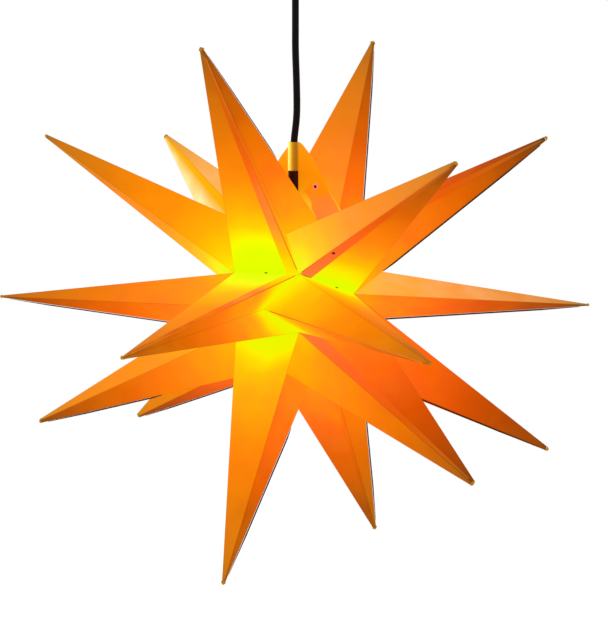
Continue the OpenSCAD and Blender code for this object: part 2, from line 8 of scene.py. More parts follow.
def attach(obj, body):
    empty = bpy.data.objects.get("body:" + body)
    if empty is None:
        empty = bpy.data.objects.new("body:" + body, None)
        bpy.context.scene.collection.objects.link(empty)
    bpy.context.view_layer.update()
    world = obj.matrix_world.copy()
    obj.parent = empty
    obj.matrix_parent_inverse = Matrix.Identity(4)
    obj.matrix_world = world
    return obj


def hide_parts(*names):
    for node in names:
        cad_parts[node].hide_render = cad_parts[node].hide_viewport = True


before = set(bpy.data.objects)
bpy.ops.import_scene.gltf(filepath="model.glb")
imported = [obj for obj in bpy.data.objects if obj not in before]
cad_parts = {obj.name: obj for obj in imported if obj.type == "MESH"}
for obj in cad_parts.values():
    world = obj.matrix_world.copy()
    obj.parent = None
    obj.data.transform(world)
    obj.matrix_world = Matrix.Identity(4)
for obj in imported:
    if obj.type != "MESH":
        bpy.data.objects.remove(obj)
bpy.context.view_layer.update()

# The photograph's view: a long lens, a little above the star and well round to its right, with the star's
# centre left of and above the middle of the picture.
image_w, image_h = 608, 626
star_centre = Vector((0, 0.00485, -0.325))
view_azimuth, view_elevation = math.radians(32), math.radians(7)
view_distance = 2.47
focal_px = 2587
centre_px = (296, 299.5)
towards_viewer = Vector((math.sin(view_azimuth) * math.cos(view_elevation),
                         -math.cos(view_azimuth) * math.cos(view_elevation), math.sin(view_elevation)))


def placed(name, data):
    """A new object in the scene, from its mesh, curve, camera or light."""
    placed_object = bpy.data.objects.new(name, data)
    bpy.context.scene.collection.objects.link(placed_object)
    return placed_object


camera = placed("camera", bpy.data.cameras.new("camera"))
camera.location = star_centre + towards_viewer * view_distance
camera.rotation_mode = "QUATERNION"
camera.rotation_quaternion = towards_viewer.to_track_quat("Z", "Y")
camera.data.sensor_width = 36
camera.data.lens = focal_px * camera.data.sensor_width / image_h
camera.data.shift_x = (image_w / 2 - centre_px[0]) / image_h
camera.data.shift_y = (centre_px[1] - image_h / 2) / image_h
bpy.context.scene.camera = camera
bpy.context.scene.view_settings.view_transform = "Standard"

# The mains cord: two cores in a round black rubber sheath, 6.6 mm thick, extruded, so it is smooth with a
# dull skin. It runs taut from the clamp in the ceiling fitting to the lamp holder, with the slight bends
# it was packed with.
cord_d = 0.0066
cord_mm = [(2.4, 0, -8), (2.4, 0, -24), (2.4, 0, -40), (2.4, 0, -56), (2.4, 0, -70), (2.4, 0, -84),
           (2.8, 0, -98), (3.4, 0, -112), (3.8, 0, -126), (4, 0, -138), (3.8, 0, -148), (3, 0, -157),
           (1.9, 0, -165), (1, 0, -173), (0.9, 0, -182), (0.7, 0, -190), (0.2, 0, -198), (0, 0, -204),
           (0, 0, -214), (0, 0, -226), (0, 0, -240), (0, 0, -255), (0, 0, -270), (0, 0, -283)]
mm_per_m = 1000
cord_route = [Vector(p) / mm_per_m for p in cord_mm]


def colour(hex_code):
    """Linear RGBA from an sRGB hex code."""
    parts = [int(hex_code[i:i + 2], 16) / 255 for i in (1, 3, 5)]
    return [p / 12.92 if p <= 0.04045 else ((p + 0.055) / 1.055) ** 2.4 for p in parts] + [1]


def add(tree, kind, settings=(), **inputs):
    """Adds a node. Settings are its own properties, and inputs are values or the sockets that feed it.

    An input goes by its name with _ for a space, or by its number after a _, such as _6.
    """
    node = tree.nodes.new("ShaderNode" + kind)
    for name, value in dict(settings).items():
        setattr(node, name, value)
    for name, value in inputs.items():
        socket = node.inputs[int(name[1:])] if name[1:].isdigit() else node.inputs[name.replace("_", " ")]
        if isinstance(value, bpy.types.NodeSocket):
            tree.links.new(value, socket)
        else:
            socket.default_value = value
    return node


def new_material(name):
    """An empty node material and its tree."""
    material = bpy.data.materials.new(name)
    material.use_nodes = True
    material.node_tree.nodes.clear()
    return material, material.node_tree


def finish_material(tree, shader):
    """Feeds a material's output from its shader."""
    add(tree, "OutputMaterial", Surface=shader.outputs[0])


def extruded_rubber():
    # Extruded rubber: a dull, nearly black skin whose fine grain breaks up the highlight along the cord.
    # The grain is drawn 1.2 mm wide, coarser than the real one, so that it shows.
    material, tree = new_material("extruded_black_rubber")
    place = add(tree, "TexCoord").outputs["Object"]
    grain = add(tree, "TexNoise", Vector=place, Scale=1 / 0.0012, Detail=3.0).outputs[0]
    shade = add(tree, "Mix", {"data_type": "RGBA"}, Factor=grain, _6=colour("#040302"), _7=colour("#0E0A07"))
    bump = add(tree, "Bump", Strength=0.15, Distance=0.0002, Height=grain)
    shader = add(tree, "BsdfPrincipled", Base_Color=shade.outputs[2], Normal=bump.outputs[0])
    shader.inputs["Roughness"].default_value = 0.6
    shader.inputs["Specular IOR Level"].default_value = 0.06
    finish_material(tree, shader)
    return material


def linked(name, data, material, body):
    """A new piece that shows one material and rides on a body."""
    piece = placed(name, data)
    data.materials.append(material)
    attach(piece, body)
    return piece


cord_curve = bpy.data.curves.new("cord_line", "CURVE")
cord_curve.dimensions = "3D"
cord_curve.bevel_depth = cord_d / 2
cord_curve.bevel_resolution = 8
cord_curve.resolution_u = 6
cord_curve.use_fill_caps = True
cord_line = cord_curve.splines.new("BEZIER")
cord_line.bezier_points.add(len(cord_route) - 1)
for point, place in zip(cord_line.bezier_points, cord_route):
    point.co = place
    point.handle_left_type = point.handle_right_type = "AUTO"
black_rubber = extruded_rubber()
cord = linked("cord", cord_curve, black_rubber, "ceiling")
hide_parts("mains_cord")

# The ceiling fitting: a round steel plate, stamped and folded, then zinc plated, with a moulded polyamide
# block that two screws press on the cord, and a two-way terminal block. All of it hides inside the cup.


def zinc_plated_steel():
    # Zinc plating: bright grey, a little cloudy from the bath, which makes its highlight uneven.
    material, tree = new_material("zinc_plated_steel")
    place = add(tree, "TexCoord").outputs["Object"]
    cloud = add(tree, "TexNoise", Vector=place, Scale=1 / 0.006, Detail=4.0).outputs[0]
    shade = add(tree, "Mix", {"data_type": "RGBA"}, Factor=cloud, _6=colour("#9EA1A3"), _7=colour("#C9CCCE"))
    rough = add(tree, "MapRange", Value=cloud, To_Min=0.28, To_Max=0.46)
    shader = add(tree, "BsdfPrincipled", Base_Color=shade.outputs[2], Roughness=rough.outputs[0])
    shader.inputs["Metallic"].default_value = 1
    finish_material(tree, shader)
    return material


def moulded_plastic(name, dark, light, rough_low, rough_high, gloss=0.4):
    # Injection-moulded polyamide or ABS: an even colour with the faint mottle and fine spark-eroded
    # texture of the mould, a broken, satin highlight. The texture is drawn 0.6 mm wide so that it shows.
    material, tree = new_material(name)
    place = add(tree, "TexCoord").outputs["Object"]
    mottle = add(tree, "TexNoise", Vector=place, Scale=1 / 0.009, Detail=2.0).outputs[0]
    grain = add(tree, "TexNoise", Vector=place, Scale=1 / 0.0006, Detail=2.0).outputs[0]
    shade = add(tree, "Mix", {"data_type": "RGBA"}, Factor=mottle, _6=colour(dark), _7=colour(light))
    rough = add(tree, "MapRange", Value=mottle, To_Min=rough_low, To_Max=rough_high)
    bump = add(tree, "Bump", Strength=0.12, Distance=0.0001, Height=grain)
    shader = add(tree, "BsdfPrincipled", Base_Color=shade.outputs[2], Roughness=rough.outputs[0],
                 Normal=bump.outputs[0])
    shader.inputs["Specular IOR Level"].default_value = gloss
    finish_material(tree, shader)
    return material


def dress(material, *nodes):
    """Gives CAD nodes a material."""
    for node in nodes:
        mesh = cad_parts[node].data
        mesh.materials.clear()
        mesh.materials.append(material)


zinc_steel = zinc_plated_steel()
black_polyamide = moulded_plastic("moulded_black_polyamide", "#0D0A09", "#1A1513", 0.42, 0.55, 0.3)
white_polyamide = moulded_plastic("moulded_white_polyamide", "#D9D6CE", "#EDEAE3", 0.40, 0.52)
dress(zinc_steel, "ceiling_plate", "grip_screws", "terminal_screws")
dress(black_polyamide, "cord_grip")
dress(white_polyamide, "terminal_block")

# The ceiling cup: a shallow round cap moulded in black ABS, with a rounded lower edge. It slides up the
# cord and two side screws hold it on the plate's legs. A soft bushing lines its hole.
black_abs = moulded_plastic("moulded_black_abs", "#0B0908", "#14100F", 0.30, 0.40)
dress(black_abs, "ceiling_cup")
dress(black_rubber, "cup_bushing")
dress(zinc_steel, "cup_screws")

# The collar under the sleeve: a short, dark brown tube, moulded, that a small screw locks on the cord. The
# sleeve rests on it, so it carries the star.
dress(moulded_plastic("moulded_brown_polyamide", "#240404", "#340806", 0.45, 0.55, 0.06), "cord_collar")
dress(zinc_steel, "collar_screw")

# The lamp holder: a cap and a skirt, compression moulded in black phenolic and screwed together round a
# white core with brass contacts. It hangs on the lower end of the cord, inside the star.
black_phenolic = moulded_plastic("moulded_black_phenolic", "#120E0C", "#1E1814", 0.22, 0.34)


def turned_brass():
    # Turned brass: fine lines run round it, so its highlight is a soft band. The lines are drawn 0.4 mm
    # wide, coarser than the real ones, so that they show.
    material, tree = new_material("turned_brass")
    place = add(tree, "TexCoord").outputs["Object"]
    rings = add(tree, "Mapping", Vector=place)
    rings.inputs["Scale"].default_value = (30, 30, 2500)
    lines = add(tree, "TexNoise", Vector=rings.outputs[0], Scale=1.0, Detail=2.0).outputs[0]
    shade = add(tree, "Mix", {"data_type": "RGBA"}, Factor=lines, _6=colour("#C0900C"), _7=colour("#CC9C1C"))
    rough = add(tree, "MapRange", Value=lines, To_Min=0.52, To_Max=0.60)
    bump = add(tree, "Bump", Strength=0.02, Distance=0.00005, Height=lines)
    shader = add(tree, "BsdfPrincipled", Base_Color=shade.outputs[2], Roughness=rough.outputs[0],
                 Normal=bump.outputs[0])
    shader.inputs["Metallic"].default_value = 1
    finish_material(tree, shader)
    return material


brass = turned_brass()
dress(black_phenolic, "holder_cap", "holder_skirt")
dress(white_polyamide, "holder_core")
dress(brass, "holder_contacts")

# The lamp: a small LED lamp with a plated steel screw cap, a white moulded body and a frosted dome that
# glows. The dome is polycarbonate, blow moulded and milky, lit by the diodes behind it.


def glowing(name, dark, light, strength):
    # Milky polycarbonate or phosphor with light behind it: nearly even, a little warmer in patches.
    material, tree = new_material(name)
    place = add(tree, "TexCoord").outputs["Object"]
    haze = add(tree, "TexNoise", Vector=place, Scale=1 / 0.012, Detail=2.0).outputs[0]
    shade = add(tree, "Mix", {"data_type": "RGBA"}, Factor=haze, _6=colour(dark), _7=colour(light))
    shader = add(tree, "BsdfPrincipled", Base_Color=shade.outputs[2], Emission_Color=shade.outputs[2])
    shader.inputs["Roughness"].default_value = 0.5
    shader.inputs["Emission Strength"].default_value = strength
    finish_material(tree, shader)
    return material


dress(zinc_steel, "lamp_screw_cap", "lamp_contact")
dress(black_phenolic, "lamp_insulator")
dress(white_polyamide, "lamp_body", "lamp_board")
dress(glowing("lit_phosphor", "#FFD070", "#FFE08A", 2.0), "lamp_leds")
dress(glowing("lit_milky_polycarbonate", "#FFE9B0", "#FFF4D2", 1.4), "lamp_dome")

# The star's eighteen points. Each is one piece of 0.4 mm polypropylene sheet, die cut and creased, with a
# satin skin, folded into a hollow cone of four or six flat panels. The light of the lamp behind it is
# painted into the sheet as its own glow, from lime-yellow by the lamp through orange to a dull brown at the
# welded end.
sheet_t = 0.0004
fold_radius = 0.0009
fold_depth = 0.35 * fold_radius
# On a narrow panel, the most that a fold's radius and depth may take of the panel's width
fold_radius_most, fold_depth_most = 0.2, 0.1
rows_along = 30
columns_across = 7
flange_share = 0.05
middle_ring_folds = 6
# From the star's centre, every foot of a panel lies nearer than this and every end further
feet_within = 0.15
# The lamp hangs straight below the ceiling fitting, and its middle is 4 mm below the star's
lamp_centre = star_centre + Vector((0, -0.00485, -0.004))
# A panel's veil, its painted daylight sheen, is weak at its foot, rises quickly and then dies away
# towards its end
veil_at_foot, veil_rise, veil_fall = 0.35, 2.2, 0.65


def corner_pair(points, apart):
    """The two corners of a panel's end that lie furthest apart, out of the points there."""
    gaps = [(apart(a, b), i, j) for i, a in enumerate(points) for j, b in enumerate(points) if i < j]
    _, i, j = max(gaps)
    return points[i], points[j]


def solids_of(node):
    """The corners of each separate solid in a CAD node, from the star's centre."""
    shape = bmesh.new()
    shape.from_mesh(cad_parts[node].data)
    bmesh.ops.remove_doubles(shape, verts=shape.verts, dist=1e-6)
    left = set(shape.verts)
    solids = []
    while left:
        reached = [left.pop()]
        for vert in reached:
            for edge in vert.link_edges:
                other = edge.other_vert(vert)
                if other in left:
                    left.remove(other)
                    reached.append(other)
        solids.append([vert.co - star_centre for vert in reached])
    shape.free()
    return solids


def flat_panels(node):
    """Each flat panel of a point as its outer corners: foot, next foot, next end, end."""
    panels = []
    for from_centre in solids_of(node):
        feet = sorted((p for p in from_centre if p.length < feet_within), key=lambda p: -p.length)
        ends = [p for p in from_centre if p.length > feet_within]
        foot_a, foot_b = corner_pair(feet, lambda a, b: a.angle(b) + min(a.length, b.length))
        end_a, end_b = corner_pair(ends, lambda a, b: (a - b).length)
        if (foot_b - foot_a).dot(end_b - end_a) < 0:
            end_a, end_b = end_b, end_a
        if (foot_b - foot_a).cross(end_a - foot_a).dot(foot_a) < 0:
            foot_a, foot_b, end_a, end_b = foot_b, foot_a, end_b, end_a
        panels.append((foot_a, foot_b, end_b, end_a))
    return panels


def folds_of(node):
    """A point's folds in order, anticlockwise as seen from its end: (foot, end) from the star's centre."""
    panels = flat_panels(node)
    ring = [panels.pop()]
    while panels:
        nearest = min(panels, key=lambda p: (p[0] - ring[-1][1]).length)
        panels.remove(nearest)
        ring.append(nearest)
    folds = [((before[1] + panel[0]) / 2, (before[2] + panel[3]) / 2)
             for before, panel in zip([ring[-1]] + ring[:-1], ring)]
    axis = sum((end for _, end in folds), Vector()) / len(folds)

    def place_in_ring(fold):
        if len(folds) != middle_ring_folds:
            return math.hypot(fold[0].y, fold[0].z)
        around = math.atan2(-fold[0].y, fold[0].z) - math.atan2(-axis.y, axis.z)
        around = (around + math.pi) % (2 * math.pi) - math.pi
        right_side_last = 10 if fold[0].x > 0 else 0
        return around + right_side_last

    first = min(range(len(folds)), key=lambda i: place_in_ring(folds[i]))
    return folds[first:] + folds[:first]


def sheet_skin(folds, lights, fades):
    """The folded skin of a point: vertices, quads, and by vertex its tone, glow, veil and way to a fold."""
    count = len(folds)
    per_panel = columns_across + 1
    verts, quads, marks = [], [], []
    for row in range(-1, rows_along + 1):
        share = max(row, 0) / rows_along
        drawn_in = flange_share if row < 0 else 0
        line = [foot.lerp(end, share) * (1 - drawn_in) for foot, end in folds]
        veiled = min(1, veil_at_foot + veil_rise * share) * (1 - veil_fall * share)
        lit = [(near + (far - near) * share, glow, veil * veiled) for near, far, glow, veil in lights]
        fading = [fade * veiled for fade in fades]
        middle = sum(line, Vector()) / count
        for k in range(count):
            a, b = line[k], line[(k + 1) % count]
            width = (b - a).length
            edge = min(fold_radius, fold_radius_most * width)
            verts.append(a + (middle - a).normalized() * min(fold_depth, fold_depth_most * width))
            tone, glow, veil = [(p + q) / 2 for p, q in zip(lit[k], lit[k - 1])]
            marks.append([tone, glow, veil - fading[k - 1] / 2, 0.0])
            for column in range(columns_across):
                across = edge + (width - 2 * edge) * column / (columns_across - 1)
                verts.append(a.lerp(b, across / width))
                tone, glow, veil = lit[k]
                veil -= fading[k] * across / width
                marks.append([tone, glow, veil, min(across, width - across) * mm_per_m])
    in_row = count * per_panel
    for row in range(rows_along + 1):
        near_row, far_row = row * in_row, (row + 1) * in_row
        for i in range(in_row):
            j = (i + 1) % in_row
            quads.append((near_row + i, near_row + j, far_row + j, far_row + i))
    return verts, quads, marks


def sheet_mesh(name, verts, quads, marks):
    """The mesh of a folded skin, with its marks as attributes that the material reads."""
    mesh = bpy.data.meshes.new(name)
    mesh.from_pydata([v + star_centre for v in verts], [], quads)
    for number, label in enumerate(("tone", "glow", "veil", "from_fold")):
        values = mesh.attributes.new(label, "FLOAT", "POINT")
        values.data.foreach_set("value", [mark[number] for mark in marks])
    mesh.shade_smooth()
    return mesh


# How the sheet's painted glow looks. Lengths are in millimetres from the lamp: the range that each list of
# colours runs over, how far the clouds in the sheet shift it, where a panel's own painted glow fades, and
# where the sheet flushes
near_mm, far_mm = 35, 305
cloud_mm = 34.0
glow_full_mm, glow_gone_mm = 65.0, 165.0
flush_begins_mm, flush_full_mm, flush_fades_mm, flush_gone_mm = 75.0, 115.0, 130.0, 190.0
# The flush lies where the clouds are thick, and is this strong there
flush_colour = "#FF6A32"
flush_clear, flush_thick, flush_most = 0.38, 0.66, 0.3
# A panel whose tone falls to this, below nought, is cream all through, in its painted glow and in its
# painted daylight sheen
cream_tone, cream_sheet, cream_daylight = -0.5, "#FAAC04", "#FFF2B0"
# The streaks move the painted tone by this much either way, and make the painted veil thinner and thicker
tone_drift = 0.22
streak_low, streak_high = 0.3, 0.7
veil_thin, veil_thick = 0.5, 1.5
# Painted shade in a crease: darkest on the fold itself, it fades out over this width
crease_w_mm, painted_crease_shade = 0.9, 0.78
# How much of its colour the sheet shows by daylight, and how strongly its painted lamp glow shines
skin_share, painted_glow_strength = 0.30, 0.72


def glow_painted_polypropylene(name, pale_stops, deep_stops, veil_colour, creased=False, along=(1, 1, 1)):
    # Satin polypropylene sheet whose lamp light is painted: it glows by its own emission, coloured by how
    # far it is from the lamp. "tone" turns a panel's painted glow from amber to red-orange, "glow" brings
    # the painted light nearer at its foot, and "veil" adds a painted sheen, the pale daylight that the satin
    # skin throws back. Where the tone is below nought, both are creamier. Extruded sheet is faintly streaked
    # and cloudy, which varies the painted glow, and half-way along it flushes pink in patches. Where creased
    # is set, painted shade darkens the sheet along its folds. Its satin grain is drawn 1.5 mm wide, coarser
    # than the real one, so that it shows.
    material, tree = new_material(name)
    place = add(tree, "TexCoord").outputs["Object"]
    from_lamp = add(tree, "VectorMath", {"operation": "SUBTRACT"}, _0=place, _1=lamp_centre).outputs[0]
    led = add(tree, "VectorMath", {"operation": "MULTIPLY"}, _0=from_lamp, _1=along).outputs[0]
    way = add(tree, "VectorMath", {"operation": "LENGTH"}, _0=led).outputs["Value"]
    way_mm = add(tree, "Math", {"operation": "MULTIPLY"}, _0=way, _1=mm_per_m).outputs[0]
    cloud = add(tree, "TexNoise", Vector=place, Scale=1 / 0.045, Detail=2.0).outputs[0]
    waved = add(tree, "Math", {"operation": "MULTIPLY_ADD"}, _0=cloud, _1=cloud_mm, _2=way_mm).outputs[0]
    # Each panel's glow brings the painted light nearer at its foot
    glow = add(tree, "Attribute", {"attribute_name": "glow"}).outputs["Fac"]
    low_down = add(tree, "MapRange", Value=way_mm, From_Min=glow_full_mm, From_Max=glow_gone_mm,
                   To_Min=-1.0, To_Max=0.0).outputs[0]
    nearer = add(tree, "Math", {"operation": "MULTIPLY_ADD"}, _0=glow, _1=low_down, _2=waved).outputs[0]
    share = add(tree, "MapRange", Value=nearer, From_Min=near_mm, From_Max=far_mm).outputs[0]
    shades = []
    for stops in (pale_stops, deep_stops):
        light = add(tree, "ValToRGB", Fac=share)
        ramp = light.color_ramp
        for mm, code in stops[1:-1]:
            ramp.elements.new((mm - near_mm) / (far_mm - near_mm)).color = colour(code)
        ramp.elements[0].color = colour(stops[0][1])
        ramp.elements[-1].color = colour(stops[-1][1])
        shades.append(light.outputs[0])
    streak = add(tree, "TexNoise", Vector=place, Scale=1 / 0.028, Detail=3.0).outputs[0]
    drift = add(tree, "MapRange", Value=streak, To_Min=-tone_drift, To_Max=tone_drift).outputs[0]
    tone = add(tree, "Attribute", {"attribute_name": "tone"}).outputs["Fac"]
    tone = add(tree, "Math", {"operation": "ADD"}, _0=tone, _1=drift).outputs[0]
    toned = add(tree, "Mix", {"data_type": "RGBA"}, Factor=tone, _6=shades[0], _7=shades[1]).outputs[2]
    flush = add(tree, "MapRange", Value=cloud, From_Min=flush_clear, From_Max=flush_thick,
                To_Max=flush_most).outputs[0]
    up = add(tree, "MapRange", Value=way_mm, From_Min=flush_begins_mm, From_Max=flush_full_mm).outputs[0]
    down = add(tree, "MapRange", Value=way_mm, From_Min=flush_gone_mm, From_Max=flush_fades_mm).outputs[0]
    for part in (up, down, tone):
        flush = add(tree, "Math", {"operation": "MULTIPLY"}, _0=flush, _1=part).outputs[0]
    toned = add(tree, "Mix", {"data_type": "RGBA"}, Factor=flush, _6=toned,
                _7=colour(flush_colour)).outputs[2]
    cream = add(tree, "MapRange", Value=tone, From_Min=0.0, From_Max=cream_tone).outputs[0]
    toned = add(tree, "Mix", {"data_type": "RGBA"}, Factor=cream, _6=toned,
                _7=colour(cream_sheet)).outputs[2]
    # Painted sheen: the veil of pale daylight, thinner and thicker with the streaks
    veil = add(tree, "Attribute", {"attribute_name": "veil"}).outputs["Fac"]
    thin = add(tree, "MapRange", Value=streak, From_Min=streak_low, From_Max=streak_high, To_Min=veil_thin,
               To_Max=veil_thick).outputs[0]
    veil = add(tree, "Math", {"operation": "MULTIPLY"}, _0=veil, _1=thin).outputs[0]
    daylight = add(tree, "Mix", {"data_type": "RGBA"}, Factor=cream, _6=colour(veil_colour),
                   _7=colour(cream_daylight)).outputs[2]
    shade = add(tree, "Mix", {"data_type": "RGBA"}, Factor=veil, _6=toned, _7=daylight).outputs[2]
    # Painted shade along the folds
    if creased:
        fold = add(tree, "Attribute", {"attribute_name": "from_fold"}).outputs["Fac"]
        painted_crease = add(tree, "MapRange", Value=fold, From_Max=crease_w_mm, To_Min=painted_crease_shade).outputs[0]
        shade = add(tree, "VectorMath", {"operation": "SCALE"}, _0=shade, Scale=painted_crease).outputs[0]
    skin = add(tree, "VectorMath", {"operation": "SCALE"}, _0=shade, Scale=skin_share).outputs[0]
    grain = add(tree, "TexNoise", Vector=place, Scale=1 / 0.0015, Detail=2.0).outputs[0]
    bump = add(tree, "Bump", Strength=0.06, Distance=0.0002, Height=grain)
    # The painted glow is the shader's emission
    shader = add(tree, "BsdfPrincipled", Base_Color=skin, Emission_Color=shade, Normal=bump.outputs[0])
    shader.inputs["Roughness"].default_value = 0.5
    shader.inputs["Specular IOR Level"].default_value = 0.004
    shader.inputs["Emission Strength"].default_value = painted_glow_strength
    finish_material(tree, shader)
    return material


amber_stops = [(35, "#E2FF00"), (52, "#EEFF00"), (64, "#FFEE00"), (80, "#FFD200"), (110, "#FFB400"),
               (155, "#FF9804"), (200, "#F88C06"), (240, "#EA860C"), (268, "#DE8210"), (290, "#CC7C18"),
               (305, "#A07024")]
red_stops = [(35, "#F4F400"), (52, "#FFDC00"), (64, "#FFB408"), (80, "#FF9810"), (110, "#FF7C18"),
             (155, "#FA640A"), (200, "#DA5202"), (240, "#B84A04"), (268, "#A04408"), (290, "#88420C"),
             (305, "#6C4618")]
glow_painted_sheet = glow_painted_polypropylene("satin_polypropylene_painted_glow", amber_stops, red_stops, "#FFCC84", creased=True)
# The painted light of each panel, by point and for each panel in order: the tone at its foot and end, its
# glow in millimetres, its veil
panel_lights = {
    "mid_point_1": [(0.5, 0.5, 0, 0), (0.4, 0.5, 0, 0), (0.0, 0.6, 64, 0), (0.5, 0.8, 36, 0),
                    (0.4, 0.75, 20, 0), (0.5, 0.6, 0, 0)],
    "mid_point_2": [(0.4, 0.4, 5, 0), (0.5, 0.5, 5, 0), (0.5, 0.8, 10, 0), (0.7, 0.55, 60, 0),
                    (0.6, 0.65, 50, 0), (0.1, 0.25, 46, 0.05)],
    "mid_point_3": [(0.4, 0.4, 5, 0), (0.5, 0.5, 0, 0), (0.6, 0.8, 0, 0), (0.95, 0.7, 0, 0),
                    (0.7, 0.9, 0, 0), (0.25, 0.35, 33, 0)],
    "mid_point_4": [(0.5, 0.5, 0, 0), (0.5, 0.5, 0, 0), (0.5, 0.6, 0, 0), (0.65, 0.5, 0, 0),
                    (0.8, 0.8, 0, 0), (0.8, 0.8, 0, 0)],
    "mid_point_6": [(0.5, 0.5, 0, 0), (0.3, 0.4, 0, 0.05), (0.4, 0.4, 0, 0.05), (0.8, 0.8, 0, 0),
                    (0.8, 0.8, 0, 0), (0.5, 0.6, 0, 0)],
    "right_point_1": [(0.3, 0.5, 5, 0), (0.1, 0.2, 3, 0.1), (0.15, 0.2, 38, 0.15), (0.15, 0.95, 50, 0)],
    "right_point_2": [(0.1, 0.6, 26, 0), (0.15, 0.4, 24, 0), (0.4, 0.7, 36, 0), (0.4, 0.6, 5, 0)],
    "right_point_3": [(0.95, 1.0, 0, 0), (0.35, 0.65, 0, 0), (0.5, 0.6, 0, 0), (0.6, 0.8, 0, 0)],
    "right_point_4": [(1.0, 1.0, -10, 0), (0.9, 1.0, 0, 0), (0.6, 0.7, 0, 0), (0.6, 0.8, 0, 0)],
    "right_point_5": [(0.8, 1.0, 0, 0), (0.5, 0.6, 0, 0), (0.3, 0.4, 0, 0.1), (0.15, 0.3, 0, 0.45)],
    "right_point_6": [(0.5, 0.7, 0, 0), (0.3, 0.4, 0, 0.1), (1.0, 1.0, 0, 0), (0.4, 1.0, 4, 0)],
    "left_point_1": [(0.0, 0.1, 46, 0.02), (0.0, 0.3, 26, 0), (0.3, 0.4, 0, 0.1), (0.4, 0.5, 0, 0)],
    "left_point_2": [(0.6, 0.8, 0, 0), (0.6, 1.0, 0, 0), (0.55, 0.45, 0, 0.03), (0.3, 0.4, 0, 0.1)],
    "left_point_3": [(0.5, 0.6, 0, 0), (0.5, 0.6, 0, 0), (0.4, 0.9, 0, 0), (0.2, 0.0, 0, 0.06)],
    "left_point_4": [(0.7, 0.8, 0, 0), (0.8, 0.9, 0, 0), (1.0, 1.0, 0, 0), (0.6, 0.0, 0, 0)],
    "left_point_6": [(-0.8, -0.8, 60, 1.7), (-0.3, -0.1, 20, 0.45), (0.3, 0.3, 0, 0.2), (0.4, 0.4, 0, 0)],
}
# The same on every panel of the two points that the photograph hides
unseen_light = (0.5, 0.6, 0, 0.05)
# Where the painted daylight falls on one side of a panel only: how much of its painted veil is lost
# towards its last fold
panel_fades = {"left_point_6": [2.2, 0, 0, 0]}
body_of_gore = {gore: "front_half" if gore <= 3 else "rear_half" for gore in range(1, 7)}
cord_hole_r = cord_d / 2 + 0.0017
cord_hole_z = star_centre.z + 0.060
cord_hole_depth = 0.03


def mesh_of(name, shape):
    """A mesh from a finished shape."""
    mesh = bpy.data.meshes.new(name)
    shape.to_mesh(mesh)
    shape.free()
    return mesh


def drilled(piece, place, radius, depth):
    """Drills a piece along Z, with its sheet thickness already on it."""
    tool = bmesh.new()
    bmesh.ops.create_cone(tool, cap_ends=True, segments=32, radius1=radius, radius2=radius, depth=depth)
    bmesh.ops.translate(tool, verts=tool.verts, vec=place)
    cutter = placed("cutter", mesh_of("cutter", tool))
    drill = piece.modifiers.new("drill", "BOOLEAN")
    drill.object = cutter
    drill.operation = "DIFFERENCE"
    drill.solver = "EXACT"
    bpy.context.view_layer.update()
    cut_mesh = bpy.data.meshes.new_from_object(piece.evaluated_get(bpy.context.evaluated_depsgraph_get()))
    piece.modifiers.clear()
    piece.data = cut_mesh
    bpy.data.objects.remove(cutter)


point_folds = {}
for ring in ("mid", "right", "left"):
    for gore in body_of_gore:
        node = f"{ring}_point_{gore}"
        folds = folds_of(node)
        point_folds[node] = folds
        lights = panel_lights.get(node, [unseen_light] * len(folds))
        fades = panel_fades.get(node, [0] * len(folds))
        mesh = sheet_mesh(f"{ring}_sheet_{gore}", *sheet_skin(folds, lights, fades))
        piece = linked(f"{ring}_sheet_{gore}", mesh, glow_painted_sheet, body_of_gore[gore])
        thick = piece.modifiers.new("sheet", "SOLIDIFY")
        thick.thickness = sheet_t
        thick.offset = -1
        if node == "mid_point_1":
            drilled(piece, Vector((0, 0, cord_hole_z)), cord_hole_r, cord_hole_depth)
        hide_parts(node)

# The sheet of each point is closed by a weld along one fold, where a narrow flange stands out. Three
# layers are pressed together there and no light comes through, so it draws a thin brown line: the flange
# takes none of the painted glow, and its brown is painted shade.
flange_out = 0.0013
flange_t = 0.0008
flange_top_share = 0.7
# Along a fold: where a weld ends, its rows between, how long it takes to rise, and how low both ends are
weld_ends, weld_rows = 0.97, (0.55, 0.8)
weld_rise, weld_low = 0.05, 0.2
# Up to this width a weld is the fine kind, whose painted shade is paler
fine_up_to = 0.5
# By weld: the point, its fold, the share of the fold where the weld begins, and its width by flange_out
weld_lines = [("mid_point_1", 5, 0.45, 0.6), ("mid_point_1", 3, 0.02, 0.2), ("mid_point_2", 5, 0.02, 0.25),
              ("mid_point_3", 3, 0.32, 1), ("mid_point_4", 3, 0.04, 1), ("mid_point_5", 0, 0.04, 1),
              ("mid_point_6", 5, 0.04, 1), ("right_point_1", 3, 0.02, 0.2), ("right_point_2", 2, 0.04, 0.2),
              ("right_point_3", 3, 0.04, 0.3), ("right_point_4", 1, 0.04, 1), ("right_point_5", 1, 0.04, 1),
              ("right_point_6", 0, 0.15, 1), ("left_point_1", 3, 0.04, 0.3), ("left_point_2", 1, 0.04, 0.8),
              ("left_point_3", 2, 0.45, 0.9), ("left_point_4", 2, 0.10, 0.9), ("left_point_5", 0, 0.04, 0.5),
              ("left_point_6", 3, 0.04, 0.5)]


def painted_shade_polypropylene(name, dark, light):
    # Painted shade on polypropylene that takes none of the painted glow: brown and dull, with the fine teeth
    # of the welding tool along it.
    material, tree = new_material(name)
    place = add(tree, "TexCoord").outputs["Object"]
    teeth = add(tree, "TexNoise", Vector=place, Scale=1 / 0.002, Detail=3.0).outputs[0]
    shade = add(tree, "Mix", {"data_type": "RGBA"}, Factor=teeth, _6=colour(dark), _7=colour(light))
    bump = add(tree, "Bump", Strength=0.2, Distance=0.0002, Height=teeth)
    shader = add(tree, "BsdfPrincipled", Base_Color=shade.outputs[2], Normal=bump.outputs[0])
    shader.inputs["Roughness"].default_value = 0.6
    shader.inputs["Specular IOR Level"].default_value = 0.1
    finish_material(tree, shader)
    return material


